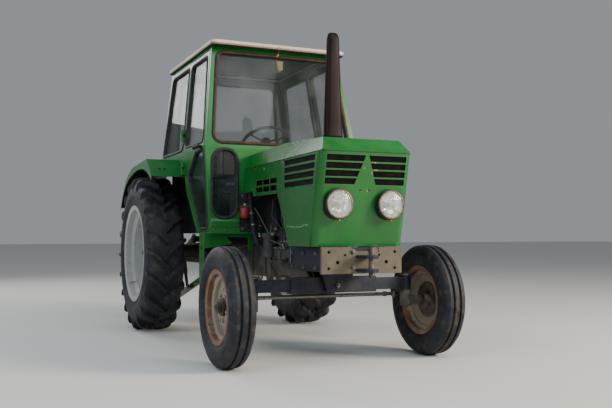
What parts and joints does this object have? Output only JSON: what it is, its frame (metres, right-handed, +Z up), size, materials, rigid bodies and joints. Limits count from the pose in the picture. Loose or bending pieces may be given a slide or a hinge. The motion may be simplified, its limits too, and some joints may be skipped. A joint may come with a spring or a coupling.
{
  "type": "farm tractor",
  "caption": "Vintage farm tractor with a glazed cab, a boxy hood with slotted grilles, narrow ribbed front tyres, large lugged rear tyres and a rear three-point linkage.",
  "frame": {"origin": "on the ground, under the middle of the tractor's overall length and width", "axes": "+Z up, the tractor faces -Y, its left side is +X"},
  "size_m": [1.705, 3.402, 2.232],
  "materials": {
    "green_paint": "worn semi-gloss",
    "cream_paint": "dull",
    "black_paint": "dull, dusty",
    "grey_plate": "weathered",
    "dark_iron": "oily",
    "iron_fins": "oily",
    "bare_steel": "worn",
    "lamp_black": "satin",
    "lamp_glass": "ribbed",
    "cab_glass": "clear",
    "window_rubber": "dull",
    "tyre_rubber": "dusty",
    "rim_beige": "worn, rusty",
    "rim_silver": "dull",
    "seat_cover": "worn",
    "wheel_plastic": "worn"
  },
  "bodies": {
    "chassis": {"engine_block": "dark_iron", "engine_cylinders": "iron_fins", "engine_fittings": "dark_iron", "fuel_tank": "black_paint", "gearbox": "dark_iron", "rear_axle": "dark_iron", "front_carrier": "black_paint", "front_plate": "grey_plate", "front_axle_beam": "black_paint", "hood_top": "green_paint", "nose_panel": "green_paint", "hood_sides": "green_paint", "cowl": "green_paint", "headlamp_bowls": "lamp_black", "headlamp_lenses": "lamp_glass", "exhaust": "black_paint", "cab_front": "green_paint", "cab_sides": "green_paint", "cab_rear": "green_paint", "cab_roof": "cream_paint", "cab_floor": "black_paint", "window_seals": "window_rubber", "windscreen_glass": "cab_glass", "side_glass": "cab_glass", "fenders": "green_paint", "steps": "green_paint", "seat_base": "black_paint", "seat_cushion": "seat_cover", "dash": "black_paint", "controls": "black_paint", "trailer_hitch": "black_paint"},
    "door_left": {"door_left": "green_paint", "door_left_glass": "cab_glass"},
    "door_right": {"door_right": "green_paint", "door_right_glass": "cab_glass"},
    "steering_wheel": {"steering_wheel": "wheel_plastic"},
    "knuckle_left": {"knuckle_left": "dark_iron"},
    "knuckle_right": {"knuckle_right": "dark_iron"},
    "tie_rod": {"tie_rod": "bare_steel"},
    "front_wheel_left": {"front_rim_left": "rim_beige", "front_tyre_left": "tyre_rubber"},
    "front_wheel_right": {"front_rim_right": "rim_beige", "front_tyre_right": "tyre_rubber"},
    "rear_wheel_left": {"rear_rim_left": "rim_silver", "rear_tyre_left": "tyre_rubber"},
    "rear_wheel_right": {"rear_rim_right": "rim_silver", "rear_tyre_right": "tyre_rubber"},
    "lift_arms": {"lift_arms": "dark_iron"},
    "lift_rods": {"lift_rods": "bare_steel"},
    "lower_links": {"lower_links": "bare_steel"}
  },
  "joints": [
    {"name": "steer_left", "type": "hinge", "parent": "chassis", "child": "knuckle_left", "pos_m": [0.542, -1.13309, 0.485], "axis": [0, 0, 1], "range_deg": [-38, 38]},
    {"name": "steer_right", "type": "hinge", "parent": "chassis", "child": "knuckle_right", "pos_m": [-0.542, -1.13309, 0.485], "axis": [0, 0, 1], "range_deg": [-38, 38]},
    {"name": "tie_rod_pin", "type": "hinge", "parent": "knuckle_left", "child": "tie_rod", "pos_m": [0.542, -0.98309, 0.402], "axis": [0, 0, 1], "range_deg": [-38, 38]},
    {"name": "steering_wheel_turn", "type": "hinge", "parent": "chassis", "child": "steering_wheel", "pos_m": [0, 0.07191, 1.53], "axis": [0, 0.5299, 0.848], "range_deg": [-458, 458]},
    {"name": "front_wheel_left_spin", "type": "hinge", "parent": "knuckle_left", "child": "front_wheel_left", "pos_m": [0.71, -1.13309, 0.3675], "axis": [1, 0, 0], "continuous": true},
    {"name": "front_wheel_right_spin", "type": "hinge", "parent": "knuckle_right", "child": "front_wheel_right", "pos_m": [-0.71, -1.13309, 0.3675], "axis": [1, 0, 0], "continuous": true},
    {"name": "rear_wheel_left_spin", "type": "hinge", "parent": "chassis", "child": "rear_wheel_left", "pos_m": [0.695, 1.00191, 0.645], "axis": [1, 0, 0], "continuous": true},
    {"name": "rear_wheel_right_spin", "type": "hinge", "parent": "chassis", "child": "rear_wheel_right", "pos_m": [-0.695, 1.00191, 0.645], "axis": [1, 0, 0], "continuous": true},
    {"name": "door_left_hinge", "type": "hinge", "parent": "chassis", "child": "door_left", "pos_m": [0.612, 0.29091, 1.434], "axis": [0, 0, 1], "range_deg": [0, 70]},
    {"name": "door_right_hinge", "type": "hinge", "parent": "chassis", "child": "door_right", "pos_m": [-0.612, 0.29091, 1.434], "axis": [0, 0, -1], "range_deg": [0, 70]},
    {"name": "lower_links_lift", "type": "hinge", "parent": "chassis", "child": "lower_links", "pos_m": [0, 0.90691, 0.425], "axis": [1, 0, 0], "range_deg": [0, 40]},
    {"name": "lift_arms_turn", "type": "hinge", "parent": "chassis", "child": "lift_arms", "pos_m": [0, 1.08691, 0.765], "axis": [1, 0, 0], "range_deg": [0, 40]},
    {"name": "lift_rods_pin", "type": "hinge", "parent": "lift_arms", "child": "lift_rods", "pos_m": [0, 1.36349, 0.6778], "axis": [1, 0, 0], "range_deg": [-40, 0]}
  ],
  "couplings": [
    {"joint": "steer_right", "follows": "steer_left", "ratio": 1},
    {"joint": "tie_rod_pin", "follows": "steer_left", "ratio": -1},
    {"joint": "steering_wheel_turn", "follows": "steer_left", "ratio": 12},
    {"joint": "lift_arms_turn", "follows": "lower_links_lift", "ratio": 1},
    {"joint": "lift_rods_pin", "follows": "lower_links_lift", "ratio": -1}
  ]
}
